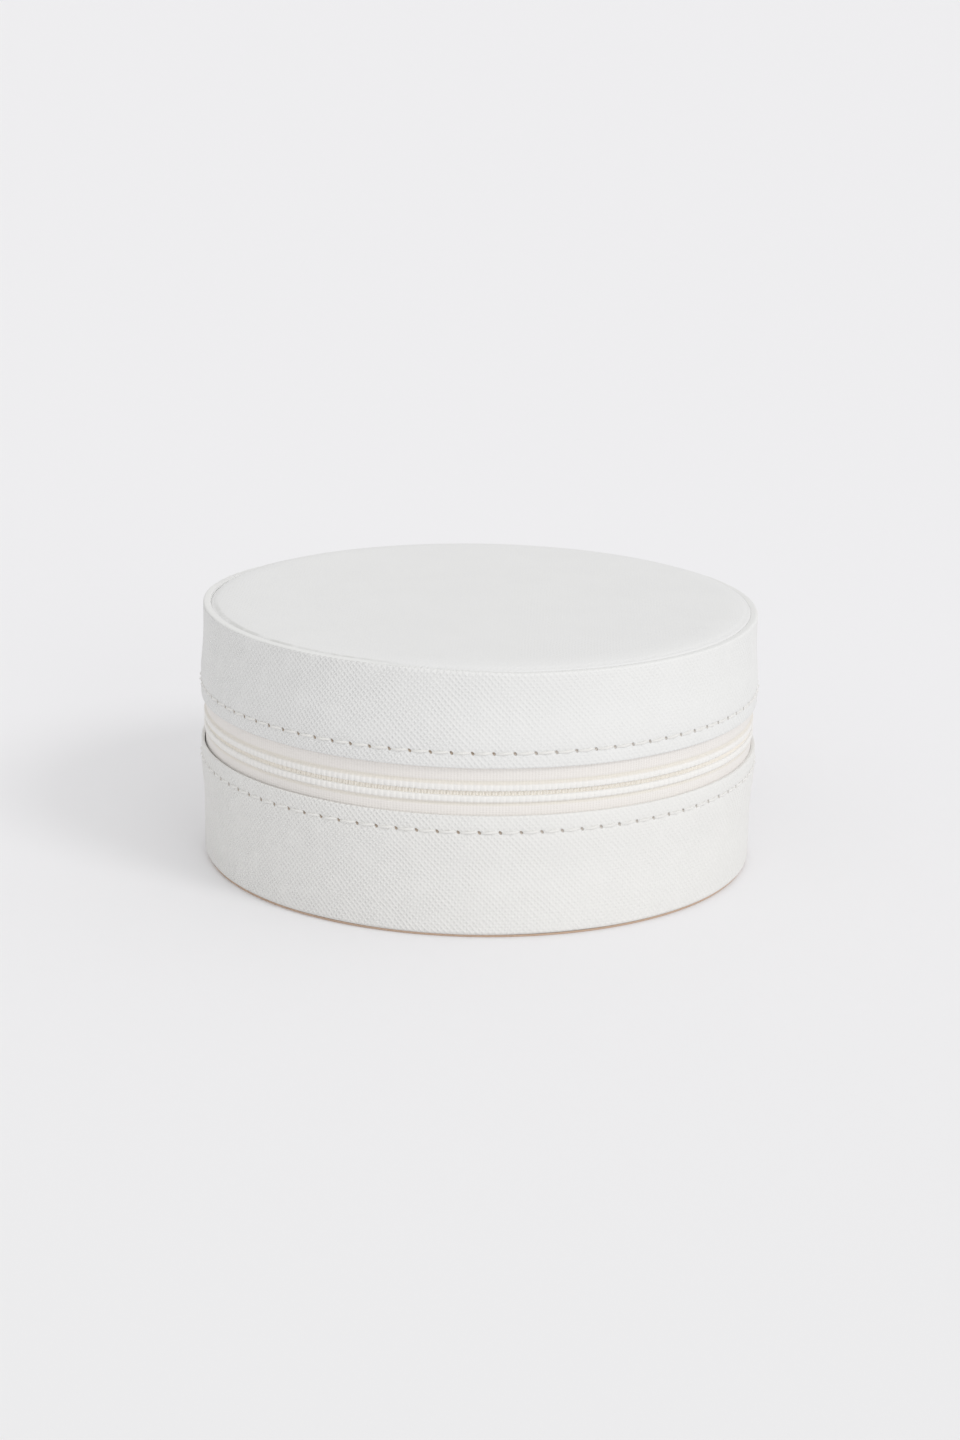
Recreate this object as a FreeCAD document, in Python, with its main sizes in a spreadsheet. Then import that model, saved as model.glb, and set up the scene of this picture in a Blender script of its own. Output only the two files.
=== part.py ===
"""A round zip-around jewelry box: a leather-covered drum with a coil zip round its waist.

Millimetres and degrees. +Z is up, the front faces -Y, the hinge is at +Y, and the origin is
the middle of the face that the box stands on.
"""
import FreeCAD, Part
import math
import operator
import os
import Sketcher

DOC = FreeCAD.newDocument("jewelry_box")
SHEET = DOC.addObject("Spreadsheet::Sheet", "Sizes")
SIGNS = {"+": operator.add, "-": operator.sub, "*": operator.mul, "/": operator.truediv}


class Size:
    """A length or angle: its value now, and the formula that gives it from the sheet."""

    def __init__(self, value, formula):
        self.value = value
        self.formula = formula

    def joined(self, sign, other):
        other = as_size(other)
        value = SIGNS[sign](self.value, other.value)
        return Size(value, "(%s %s %s)" % (self.formula, sign, other.formula))

    def __add__(self, other):
        return self.joined("+", other)

    def __sub__(self, other):
        return self.joined("-", other)

    def __mul__(self, other):
        return self.joined("*", other)

    def __truediv__(self, other):
        return self.joined("/", other)

    def __radd__(self, other):
        return as_size(other).joined("+", self)

    def __rsub__(self, other):
        return as_size(other).joined("-", self)

    def __rmul__(self, other):
        return as_size(other).joined("*", self)


def as_size(number):
    """A plain number as a size, or the size itself."""
    return number if isinstance(number, Size) else Size(number, repr(number))


def chord_half(radius, distance):
    """Half of the chord that lies at a distance from the middle of a circle."""
    squares = radius * radius - distance * distance
    return Size(math.sqrt(squares.value), "sqrt(%s)" % squares.formula)


def size(name, number):
    """Keep one driving size in the sheet under its name."""
    row = len(SHEET.getUsedCells()) // 2 + 1
    SHEET.set("A%d" % row, name)
    SHEET.set("B%d" % row, str(number))
    SHEET.setAlias("B%d" % row, name)
    return Size(number, "Sizes." + name)


# The drum, from the table up
case_radius = size("case_radius", 55.0)
base_height = size("base_height", 23.9)
zip_gap = size("zip_gap", 9.0)
lid_height = size("lid_height", 18.6)
zip_drop = size("zip_drop", 0.4)

# Leather
cover_thick = size("cover_thick", 0.9)
bottom_cover_thick = size("bottom_cover_thick", 0.4)
bottom_inset = size("bottom_inset", 0.6)
bottom_round = size("bottom_round", 0.5)
turn_in = size("turn_in", 8.0)
hem_depth = size("hem_depth", 6.5)
hem_slope = size("hem_slope", 2.0)

# Zip
tape_thick = size("tape_thick", 0.6)
tape_tuck = size("tape_tuck", 6.0)
groove = size("groove", 0.9)
coil_height = size("coil_height", 1.65)
coil_thick = size("coil_thick", 1.4)
ridge_proud = size("ridge_proud", 0.35)
stop_sweep = size("stop_sweep", 1.8)
stop_thick = size("stop_thick", 1.1)
stop_margin = size("stop_margin", 0.6)

# Hinge strip at the back
hinge_half_angle = size("hinge_half_angle", 24.0)
tape_end_tuck = size("tape_end_tuck", 4.0)
strip_lap = size("strip_lap", 5.5)
strip_fit = size("strip_fit", 0.15)

# Slider and pull
slider_park = size("slider_park", 10.0)
slider_length = size("slider_length", 8.5)
slider_width = size("slider_width", 7.0)
slider_tail_width = size("slider_tail_width", 5.4)
slider_inner_width = size("slider_inner_width", 5.6)
slider_plate = size("slider_plate", 0.9)
slider_corner = size("slider_corner", 1.4)
slider_outer_gap = size("slider_outer_gap", 0.6)
slider_inner_gap = size("slider_inner_gap", 0.35)
slider_lip_gap = size("slider_lip_gap", 0.35)
post_length = size("post_length", 1.8)
post_inset = size("post_inset", 0.8)
post_clear = size("post_clear", 0.22)
crown_length = size("crown_length", 6.4)
crown_leg = size("crown_leg", 1.3)
crown_width = size("crown_width", 1.3)
crown_bar = size("crown_bar", 0.9)
eye_clear = size("eye_clear", 0.35)
eye_ring = size("eye_ring", 0.8)
eye_thick = size("eye_thick", 1.4)
tab_width = size("tab_width", 6.0)
tab_thick = size("tab_thick", 1.0)
tab_corner = size("tab_corner", 2.0)
tab_floor_gap = size("tab_floor_gap", 6.0)

# Boards and linings
board_setback = size("board_setback", 0.4)
floor_thick = size("floor_thick", 2.0)
pad_thick = size("pad_thick", 1.5)
liner_thick = size("liner_thick", 1.5)
lining_thick = size("lining_thick", 0.5)
lip_rise = size("lip_rise", 3.0)
lid_lip_gap = size("lid_lip_gap", 0.6)
glue_gap = size("glue_gap", 0.1)

# Top panel and inside of the lid
rim_width = size("rim_width", 1.7)
rim_round = size("rim_round", 0.7)
seam_gap = size("seam_gap", 0.35)
panel_recess = size("panel_recess", 0.3)
panel_crown = size("panel_crown", 0.5)
panel_round = size("panel_round", 0.6)
top_board_thick = size("top_board_thick", 1.5)
foam_thick = size("foam_thick", 0.9)
inner_board_thick = size("inner_board_thick", 1.5)
ceiling_thick = size("ceiling_thick", 0.8)
mirror_margin = size("mirror_margin", 12.0)
mirror_thick = size("mirror_thick", 1.8)
frame_width = size("frame_width", 3.0)
frame_thick = size("frame_thick", 2.2)
frame_round = size("frame_round", 0.8)

# Dividers and ring rolls
divider_thick = size("divider_thick", 2.4)
divider_height = size("divider_height", 20.0)
divider_round = size("divider_round", 0.9)
divider_place = size("divider_place", 0.5)
divider_end_gap = size("divider_end_gap", 0.2)
roll_count = 3
roll_height = size("roll_height", 16.0)
roll_gap = size("roll_gap", 0.3)
roll_end_gap = size("roll_end_gap", 0.6)
roll_round = size("roll_round", 1.6)
last_roll_half = size("last_roll_half", 20.0)

# Levels above the table
lid_bottom = base_height + zip_gap
zip_level = base_height + zip_gap / 2 - zip_drop
rim_top = lid_bottom + lid_height
floor_bottom = bottom_cover_thick + cover_thick
floor_top = floor_bottom + floor_thick
pad_top = floor_top + pad_thick
lip_top = lid_bottom + lip_rise
panel_edge = rim_top - panel_recess
panel_peak = panel_edge + panel_crown
panel_bottom = panel_edge - cover_thick - foam_thick - top_board_thick
ceiling_top = panel_bottom - inner_board_thick
ceiling = ceiling_top - ceiling_thick

# Radii of the zip's layers, from the boards out and in
board_out = case_radius - cover_thick
tape_out = board_out + tape_thick
hem_out = tape_out + cover_thick
ridge_out = tape_out + ridge_proud
strip_in = hem_out + strip_fit
coil_in = board_out - coil_thick

# Distances of the slider's plates from the middle of the case
slider_inner_out = chord_half(coil_in, slider_length / 2) - slider_inner_gap
slider_inner_in = slider_inner_out - slider_plate
slider_outer_in = ridge_out + slider_outer_gap
slider_outer_out = slider_outer_in + slider_plate
eye_in = crown_width / 2 + eye_clear
eye_out = eye_in + eye_ring
crown_in = slider_outer_out + eye_out + eye_clear - crown_bar / 2
crown_middle = crown_in + crown_bar / 2
crown_out = crown_in + crown_bar

# Radii of the walls inside the zip
lip_out = slider_inner_in - slider_lip_gap
base_board_in = lip_out + glue_gap
liner_out = lip_out - lining_thick
liner_in = liner_out - liner_thick
lining_in = liner_in - lining_thick
lid_lining_in = lip_out + lid_lip_gap
lid_board_in = lid_lining_in + lining_thick
mirror_radius = lid_lining_in - mirror_margin - frame_width

# Radii of the top panel
rim_in = case_radius - rim_width
panel_radius = rim_in - seam_gap
panel_core = panel_radius - cover_thick

# Turns about Z, from +X
zip_front = -90.0
hinge_back = 90.0
zip_sweep = 360.0 - 2 * hinge_half_angle
slider_turn = hinge_back - hinge_half_angle - slider_park
stop_offset = hinge_half_angle + stop_margin + stop_sweep / 2


def body_named(name, turn=None):
    """An empty body, turned about Z."""
    body = DOC.addObject("PartDesign::Body", name)
    if turn is not None:
        turn = as_size(turn)
        spin = FreeCAD.Rotation(FreeCAD.Vector(0, 0, 1), turn.value)
        body.Placement = FreeCAD.Placement(FreeCAD.Vector(), spin)
        body.setExpression("Placement.Rotation.Angle", turn.formula)
    return body


def sketch_on(body, role, label, offset=None):
    """An empty sketch on one of the body's own planes, moved along its normal."""
    plane = next(item for item in body.Origin.OriginFeatures if item.Role == role)
    sketch = body.newObject("Sketcher::SketchObject", body.Name + "_" + label)
    sketch.AttachmentSupport = [(plane, "")]
    sketch.MapMode = "FlatFace"
    if offset is not None:
        sketch.setExpression("AttachmentOffset.Base.z", as_size(offset).formula)
    return sketch


def pin_point(sketch, geometry, spot, across=None, up=None):
    """Hold a point of the sketch at its distances from the sketch's origin."""
    for kind, distance in (("DistanceX", across), ("DistanceY", up)):
        if distance is None:
            continue
        distance = as_size(distance)
        rule = Sketcher.Constraint(kind, -1, 1, geometry, spot, distance.value)
        index = sketch.addConstraint(rule)
        sketch.setExpression("Constraints[%d]" % index, distance.formula)


def arc_between(start, end, centre_across, centre_up):
    """A counter-clockwise arc about a centre of which one coordinate is given."""
    middle = (start + end) / 2
    along = end - start
    if centre_up is None:
        across = as_size(centre_across).value
        up = middle.y - (across - middle.x) * along.x / along.y
    else:
        up = as_size(centre_up).value
        across = middle.x - (up - middle.y) * along.y / along.x
    centre = FreeCAD.Vector(across, up, 0)
    first = math.atan2(start.y - up, start.x - across)
    last = math.atan2(end.y - up, end.x - across)
    circle = Part.Circle(centre, FreeCAD.Vector(0, 0, 1), (start - centre).Length)
    return Part.ArcOfCircle(circle, first, last)


def add_loop(sketch, corners):
    """Close a counter-clockwise loop through corners, each (across, up).

    A third value makes the next side an arc, and gives its centre as (across, None) or (None, up).
    """
    first = sketch.GeometryCount
    count = len(corners)
    points = [FreeCAD.Vector(as_size(c[0]).value, as_size(c[1]).value, 0) for c in corners]
    for i, corner in enumerate(corners):
        start = points[i]
        end = points[(i + 1) % count]
        side = arc_between(start, end, *corner[2]) if len(corner) > 2 else Part.LineSegment(start, end)
        sketch.addGeometry(side)
    for i, corner in enumerate(corners):
        following = first + (i + 1) % count
        sketch.addConstraint(Sketcher.Constraint("Coincident", first + i, 2, following, 1))
        pin_point(sketch, first + i, 1, corner[0], corner[1])
        if len(corner) > 2:
            pin_point(sketch, first + i, 3, *corner[2])


def add_circle(sketch, across, up, radius):
    """A circle held by its centre and radius."""
    centre = FreeCAD.Vector(as_size(across).value, as_size(up).value, 0)
    circle = Part.Circle(centre, FreeCAD.Vector(0, 0, 1), radius.value)
    index = sketch.addGeometry(circle)
    pin_point(sketch, index, 3, across, up)
    rule = sketch.addConstraint(Sketcher.Constraint("Radius", index, radius.value))
    sketch.setExpression("Constraints[%d]" % rule, radius.formula)


def pad(body, sketch, length, both_ways=False):
    """Raise a sketch to a length, to one side or half to each."""
    solid = body.newObject("PartDesign::Pad", sketch.Name + "_pad")
    solid.Profile = sketch
    solid.setExpression("Length", length.formula)
    solid.Midplane = both_ways
    return solid


def turned(name, outline, sweep=None, turn=None):
    """A body turned about Z from an outline of (radius, level) corners, whole or a sector."""
    body = body_named(name, turn)
    sketch = sketch_on(body, "XZ_Plane", "outline")
    add_loop(sketch, outline)
    ring = body.newObject("PartDesign::Revolution", name + "_turned")
    ring.Profile = sketch
    ring.ReferenceAxis = (sketch, ["V_Axis"])
    if sweep is not None:
        ring.setExpression("Angle", sweep.formula)
        ring.Midplane = True
    return body


def box_outline(left, right, low, high):
    """The corners of a rectangle."""
    return [(left, low), (right, low), (right, high), (left, high)]


def disc(name, radius, low, high):
    return turned(name, box_outline(0, radius, low, high))


def ring(name, inside, outside, low, high, sweep=None, turn=None):
    return turned(name, box_outline(inside, outside, low, high), sweep, turn)


def round_edges(body, radius, chosen):
    """Round the edges of the body that pass a test."""
    DOC.recompute()
    last = body.Tip
    names = ["Edge%d" % (i + 1) for i, edge in enumerate(last.Shape.Edges) if chosen(edge)]
    rounding = body.newObject("PartDesign::Fillet", body.Name + "_round")
    rounding.Base = (last, names)
    rounding.setExpression("Radius", radius.formula)


def circles_at(*places):
    """A test for the circular edges at the given (radius, level) places."""

    def test(edge):
        if edge.Degenerated or not isinstance(edge.Curve, Part.Circle):
            return False
        level = edge.Vertexes[0].Z
        return any(
            abs(edge.Curve.Radius - radius.value) < 1e-4 and abs(level - up.value) < 1e-4
            for radius, up in places
        )

    return test


def edges_at_level(level):
    """A test for the edges that lie flat at a level."""
    return lambda edge: all(abs(corner.Z - level.value) < 1e-4 for corner in edge.Vertexes)


def base_shell():
    """The leather, boards and velvet of the base."""
    disc("base_bottom_cover", case_radius - bottom_inset, 0, bottom_cover_thick)
    slope_start = base_height - hem_depth - hem_slope
    slope_end = base_height - hem_depth
    turn_edge = case_radius - turn_in
    cover = turned("base_wall_cover", [
        (turn_edge, bottom_cover_thick),
        (case_radius, bottom_cover_thick),
        (case_radius, slope_start),
        (hem_out, slope_end),
        (hem_out, base_height),
        (tape_out, base_height),
        (tape_out, slope_end),
        (board_out, slope_start),
        (board_out, floor_bottom),
        (turn_edge, floor_bottom),
    ])
    round_edges(cover, bottom_round, circles_at((case_radius, bottom_cover_thick)))
    ring("base_wall_board", base_board_in, board_out, floor_bottom, base_height - board_setback)
    disc("base_floor_board", base_board_in, floor_bottom, floor_top)
    liner_top = lip_top - lining_thick
    ring("base_liner_board", liner_in, liner_out, floor_top, liner_top)
    turned("base_wall_lining", [
        (lining_in, floor_top),
        (liner_in, floor_top),
        (liner_in, liner_top),
        (liner_out, liner_top),
        (liner_out, floor_top),
        (lip_out, floor_top),
        (lip_out, lip_top),
        (lining_in, lip_top),
    ])
    disc("base_floor_pad", lining_in - glue_gap, floor_top, pad_top)


def standing_wall(name, left, right, front, back):
    """A velvet-covered divider on the floor pad, with its top edges rounded."""
    wall = body_named(name)
    sketch = sketch_on(wall, "XY_Plane", "plan", pad_top)
    add_loop(sketch, box_outline(left, right, front, back))
    pad(wall, sketch, divider_height)
    round_edges(wall, divider_round, edges_at_level(pad_top + divider_height))


def dividers():
    """One divider right across, and one from its middle to the front."""
    back = divider_place + divider_thick
    half = chord_half(lining_in, back) - divider_end_gap
    standing_wall("divider_main", 0 - half, half, divider_place, back)
    thick_half = divider_thick / 2
    reach = chord_half(lining_in, thick_half) - divider_end_gap
    standing_wall("divider_cross", 0 - thick_half, thick_half, 0 - reach, divider_place)


def ring_rolls():
    """Padded rolls side by side behind the main divider, each as long as the wall lets it be."""
    bay_front = divider_place + divider_thick + roll_gap
    bay_back = chord_half(lining_in, last_roll_half)
    pitch = (bay_back - bay_front) / roll_count
    for i in range(roll_count):
        front = bay_front + i * pitch
        back = front + pitch - roll_gap
        shoulder = pad_top + roll_height - (back - front) / 2
        half = chord_half(lining_in, back) - roll_end_gap
        roll = body_named("ring_roll_%d" % (i + 1))
        sketch = sketch_on(roll, "YZ_Plane", "section")
        add_loop(sketch, [
            (front, pad_top),
            (back, pad_top),
            (back, shoulder, (None, shoulder)),
            (front, shoulder),
        ])
        pad(roll, sketch, 2 * half, both_ways=True)
        round_edges(roll, roll_round, lambda edge: is_end_edge(edge, half.value))


def is_end_edge(edge, half):
    """Whether an edge lies in one of a roll's two end faces, above the floor pad."""
    at_end = all(abs(abs(corner.X) - half) < 1e-4 for corner in edge.Vertexes)
    on_pad = all(abs(corner.Z - pad_top.value) < 1e-4 for corner in edge.Vertexes)
    return at_end and not on_pad


def lid_shell():
    """The leather, boards, velvet and mirror of the lid."""
    slope_start = lid_bottom + hem_depth + hem_slope
    slope_end = lid_bottom + hem_depth
    cover = turned("lid_wall_cover", [
        (tape_out, lid_bottom),
        (hem_out, lid_bottom),
        (hem_out, slope_end),
        (case_radius, slope_start),
        (case_radius, rim_top),
        (rim_in, rim_top),
        (rim_in, panel_bottom),
        (board_out, panel_bottom),
        (board_out, slope_start),
        (tape_out, slope_end),
    ])
    round_edges(cover, rim_round, circles_at((case_radius, rim_top), (rim_in, rim_top)))
    ring("lid_wall_board", lid_board_in, board_out, lid_bottom + board_setback, panel_bottom)
    ring("lid_wall_lining", lid_lining_in, lid_board_in, lid_bottom + board_setback, ceiling_top)
    disc("lid_inner_board", lid_board_in - glue_gap, ceiling_top, panel_bottom)
    disc("lid_ceiling_lining", lid_lining_in - glue_gap, ceiling, ceiling_top)
    disc("mirror_glass", mirror_radius - glue_gap, ceiling - mirror_thick, ceiling)
    frame_low = ceiling - frame_thick
    frame_out = mirror_radius + frame_width
    frame = ring("mirror_frame", mirror_radius, frame_out, frame_low, ceiling)
    round_edges(frame, frame_round, circles_at((mirror_radius, frame_low), (frame_out, frame_low)))


def lid_panel():
    """The inset top: a board, a foam pad and the leather drawn over both, slightly crowned."""
    foam_bottom = panel_bottom + top_board_thick
    foam_edge = panel_edge - cover_thick
    foam_peak = panel_peak - cover_thick
    disc("lid_top_board", panel_core, panel_bottom, foam_bottom)
    turned("lid_top_foam", [
        (0, foam_bottom),
        (panel_core, foam_bottom),
        (panel_core, foam_edge, (0, None)),
        (0, foam_peak),
    ])
    cover = turned("lid_top_cover", [
        (0, panel_bottom),
        (panel_radius, panel_bottom),
        (panel_radius, panel_edge, (0, None)),
        (0, panel_peak),
    ])
    hollow = sketch_on(cover, "XZ_Plane", "hollow")
    add_loop(hollow, [
        (0, panel_bottom),
        (panel_core, panel_bottom),
        (panel_core, foam_edge, (0, None)),
        (0, foam_peak),
    ])
    cut = cover.newObject("PartDesign::Groove", "lid_top_cover_hollow")
    cut.Profile = hollow
    cut.ReferenceAxis = (hollow, ["V_Axis"])
    round_edges(cover, panel_round, circles_at((panel_radius, panel_edge)))


def zip_half(side, away):
    """One tape with its coil and end stops: away is 1 for the lid's half and -1 for the base's."""
    hem_level = lid_bottom if away > 0 else base_height
    hidden = hem_level + away * tape_tuck
    edge = zip_level + away * groove / 2
    ridge = edge + away * coil_height
    outline = [
        (board_out, hidden),
        (tape_out, hidden),
        (tape_out, ridge),
        (ridge_out, ridge - away * ridge_proud),
        (ridge_out, edge + away * ridge_proud),
        (tape_out, edge),
        (board_out, edge),
    ]
    tape_sweep = zip_sweep + 2 * tape_end_tuck
    coil_sweep = 360.0 - 2 * (stop_offset + stop_sweep / 2)
    ordered = outline if away < 0 else outline[::-1]
    turned("zip_tape_" + side, ordered, tape_sweep, zip_front)
    low, high = (edge, ridge) if away > 0 else (ridge, edge)
    ring("zip_coil_" + side, coil_in, board_out, low, high, coil_sweep, zip_front)
    for hand, turn in (("right", hinge_back - stop_offset), ("left", hinge_back + stop_offset)):
        name = "zip_stop_%s_%s" % (side, hand)
        ring(name, board_out - stop_thick, board_out, low, high, stop_sweep, turn)


def hinge():
    """The leather strip that joins lid and base over the end of the zip."""
    low = base_height - strip_lap
    high = lid_bottom + strip_lap
    strip_out = strip_in + cover_thick
    ring("hinge_strip", strip_in, strip_out, low, high, 2 * hinge_half_angle, hinge_back)


def slider_outline(wide, narrow):
    """A slider plate's corners: wide where the zip parts, narrow behind."""
    half = slider_length / 2
    return [
        (0 - half, zip_level - narrow / 2),
        (half, zip_level - wide / 2),
        (half, zip_level + wide / 2),
        (0 - half, zip_level + narrow / 2),
    ]


def slider():
    """Two plates joined by a post that runs in the zip's groove, and the arch for the pull."""
    body = body_named("slider_body", slider_turn)
    post = sketch_on(body, "YZ_Plane", "post", slider_inner_in)
    post_half = groove / 2 - post_clear
    post_end = slider_length / 2 - post_inset
    add_loop(post, box_outline(post_end - post_length, post_end, zip_level - post_half, zip_level + post_half))
    pad(body, post, slider_outer_out - slider_inner_in)
    inner = sketch_on(body, "YZ_Plane", "inner", slider_inner_in)
    add_loop(inner, slider_outline(slider_inner_width, slider_tail_width - slider_plate))
    pad(body, inner, slider_plate)
    outer = sketch_on(body, "YZ_Plane", "outer", slider_outer_in)
    add_loop(outer, slider_outline(slider_width, slider_tail_width))
    pad(body, outer, slider_plate)
    round_edges(body, slider_corner, is_plate_corner)

    crown = body_named("slider_crown", slider_turn)
    arch = sketch_on(crown, "XY_Plane", "arch", zip_level)
    outside = crown_length / 2
    inside = outside - crown_leg
    add_loop(arch, [
        (slider_outer_out, 0 - outside),
        (crown_out, 0 - outside),
        (crown_out, outside),
        (slider_outer_out, outside),
        (slider_outer_out, inside),
        (crown_in, inside),
        (crown_in, 0 - inside),
        (slider_outer_out, 0 - inside),
    ])
    pad(crown, arch, crown_width, both_ways=True)


def is_plate_corner(edge):
    """Whether an edge is one of the upright corners of a slider plate."""
    along = edge.Vertexes[0].Point - edge.Vertexes[-1].Point
    return abs(abs(along.x) - slider_plate.value) < 1e-4 and abs(along.y) + abs(along.z) < 1e-4


def pull():
    """A tab that hangs from the slider's arch by an eye."""
    body = body_named("pull_tab", slider_turn)
    eye = sketch_on(body, "XZ_Plane", "eye")
    add_circle(eye, crown_middle, zip_level, eye_out)
    add_circle(eye, crown_middle, zip_level, eye_in)
    pad(body, eye, eye_thick, both_ways=True)
    blade = sketch_on(body, "YZ_Plane", "blade", crown_middle - tab_thick / 2)
    half = tab_width / 2
    top = zip_level - (eye_in + eye_out) / 2
    add_loop(blade, box_outline(0 - half, half, tab_floor_gap, top))
    pad(body, blade, tab_thick)
    round_edges(body, tab_corner, is_tab_corner)


def is_tab_corner(edge):
    """Whether an edge is one of the four corners of the tab's blade."""
    corners = edge.Vertexes
    along = corners[0].Point - corners[-1].Point
    upright = abs(abs(along.x) - tab_thick.value) < 1e-4 and abs(along.y) + abs(along.z) < 1e-4
    return upright and abs(abs(corners[0].Y) - tab_width.value / 2) < 1e-4


def write_parts():
    """Check every object of the document, then write each piece to its file."""
    DOC.recompute()
    for item in DOC.Objects:
        if "Invalid" in item.State or "Error" in item.State:
            raise RuntimeError("%s failed: %s" % (item.Name, item.State))
    pieces = [item for item in DOC.Objects if item.TypeId == "PartDesign::Body"]
    for piece in pieces:
        if piece.Shape.isNull() or not piece.Shape.isValid() or len(piece.Shape.Solids) != 1:
            raise RuntimeError("%s is not one valid solid" % piece.Label)
    os.makedirs("parts", exist_ok=True)
    for piece in pieces:
        piece.Shape.exportStep("parts/%s.step" % piece.Label)
        print(piece.Label, round(piece.Shape.Volume, 2))


DOC.recompute()
base_shell()
dividers()
ring_rolls()
lid_shell()
lid_panel()
zip_half("lower", -1)
zip_half("upper", 1)
hinge()
slider()
pull()
write_parts()
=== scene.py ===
"""The looks of a round zip-around jewellery case.

White saffiano leather over board, a cream coil zip round the waist, a leather hinge
strip at the back, and a velvet inside with ring rolls, two trays and a mirror.
"""

import math

import bmesh
import bpy
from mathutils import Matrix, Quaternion, Vector


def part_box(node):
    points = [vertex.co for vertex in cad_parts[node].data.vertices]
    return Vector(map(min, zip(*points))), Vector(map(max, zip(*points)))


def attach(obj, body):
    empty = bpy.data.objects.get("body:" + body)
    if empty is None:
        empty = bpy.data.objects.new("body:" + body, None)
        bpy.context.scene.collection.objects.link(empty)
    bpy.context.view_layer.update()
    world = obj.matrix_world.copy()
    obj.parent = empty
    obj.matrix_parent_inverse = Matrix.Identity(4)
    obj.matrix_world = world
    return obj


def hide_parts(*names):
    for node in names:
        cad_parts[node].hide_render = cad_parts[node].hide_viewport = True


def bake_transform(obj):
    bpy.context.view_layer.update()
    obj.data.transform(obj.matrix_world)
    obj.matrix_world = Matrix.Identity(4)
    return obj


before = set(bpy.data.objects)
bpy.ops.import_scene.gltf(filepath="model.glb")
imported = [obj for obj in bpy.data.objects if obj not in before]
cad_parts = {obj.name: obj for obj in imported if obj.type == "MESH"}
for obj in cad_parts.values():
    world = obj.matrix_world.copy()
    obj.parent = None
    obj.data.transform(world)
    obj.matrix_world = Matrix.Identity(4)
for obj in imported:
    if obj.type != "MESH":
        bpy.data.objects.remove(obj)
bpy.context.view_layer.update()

MM = 0.001
SAME_PLACE = 0.002 * MM
FRONT = -90.0
BACK = 90.0


# Sizes taken from the CAD pieces

def reach(node):
    """How far a round CAD piece reaches from the case's axis."""
    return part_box(node)[1].x


def bottom_of(node):
    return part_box(node)[0].z


def top_of(node):
    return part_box(node)[1].z


def end_turn(node):
    """How far from the back, in degrees, a CAD piece of the zip ends."""
    return math.degrees(math.acos(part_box(node)[1].y / reach(node)))


LEATHER = 0.9 * MM
BOARD = reach("base_wall_board")
WALL = BOARD + LEATHER
HEM = reach("base_wall_cover")
UNDER_HEM = HEM - LEATHER
RIDGE = reach("zip_tape_lower")
FOOT = bottom_of("base_wall_cover")
BOTTOM = reach("base_bottom_cover")
BASE_EDGE = top_of("base_wall_cover")
LID_EDGE = bottom_of("lid_wall_cover")
ZIP_MIDDLE = (top_of("zip_coil_lower") + bottom_of("zip_coil_upper")) / 2
RIM_TOP = top_of("lid_wall_cover")
PANEL_PEAK = top_of("lid_top_cover")
PANEL_LOW = bottom_of("lid_top_cover")
RIM_WIDE = 1.55 * MM
RIM_IN = WALL - RIM_WIDE
PANEL_TUCK = 0.1 * MM
PANEL_OUT = RIM_IN + PANEL_TUCK

STITCHES = 90
STITCH_TURN = 360.0 / STITCHES
HALF_STITCH = STITCH_TURN / 2
THREAD_OUT = HEM + 0.05 * MM
LID_SEAM = LID_EDGE + 2.9 * MM
BASE_SEAM = BASE_EDGE - 3.2 * MM
LID_SEAM_SHIFT = 3.0
BASE_SEAM_SHIFT = 0.5
TOOTH_TURN = 1.25
COIL_SPARE = 1.0

STRIP_LOW_SEAM = bottom_of("hinge_strip") + 2.2 * MM
STRIP_HIGH_SEAM = top_of("hinge_strip") - 2.2 * MM
STRIP_SEAM_SHIFT = 180.0


# Modelling steps

def only(piece):
    """Make a piece the only one selected, and the active one."""
    bpy.ops.object.select_all(action="DESELECT")
    piece.select_set(True)
    bpy.context.view_layer.objects.active = piece


def started(name):
    """Name the primitive just added and put its place into its mesh."""
    piece = bpy.context.object
    piece.name = name
    piece.data.name = name
    only(piece)
    bpy.ops.object.transform_apply(location=True, rotation=True, scale=True)
    return piece


def edit(piece):
    only(piece)
    bpy.ops.object.mode_set(mode="EDIT")


def done():
    bpy.ops.object.mode_set(mode="OBJECT")


def pick(piece, wanted):
    """In edit mode, select the corners whose place answers to a test."""
    bpy.ops.mesh.select_mode(type="VERT")
    bpy.ops.mesh.select_all(action="DESELECT")
    mesh = bmesh.from_edit_mesh(piece.data)
    for corner in mesh.verts:
        corner.select = wanted(corner.co)
    mesh.select_flush_mode()
    bmesh.update_edit_mesh(piece.data)


def round_place(place):
    """A place as its distance from the axis, its turn from the front in degrees, and its height."""
    turn = math.degrees(math.atan2(place.x, -place.y))
    return math.hypot(place.x, place.y), turn, place.z


def apply_all(piece):
    only(piece)
    for modifier in list(piece.modifiers):
        bpy.ops.object.modifier_apply(modifier=modifier.name)


def smooth(piece, angle=40.0):
    only(piece)
    bpy.ops.object.shade_smooth_by_angle(angle=math.radians(angle))


def line_through(name, points):
    """A new piece, in edit mode, with one line: each corner is pulled out of the last."""
    bpy.ops.object.select_all(action="DESELECT")
    bpy.ops.mesh.primitive_plane_add(size=MM, location=points[0])
    piece = started(name)
    edit(piece)
    bpy.ops.mesh.select_all(action="SELECT")
    bpy.ops.mesh.merge(type="CENTER")
    for here, there in zip(points, points[1:]):
        step = [b - a for a, b in zip(here, there)]
        bpy.ops.mesh.extrude_vertices_move(TRANSFORM_OT_translate={"value": step})
    return piece


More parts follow.
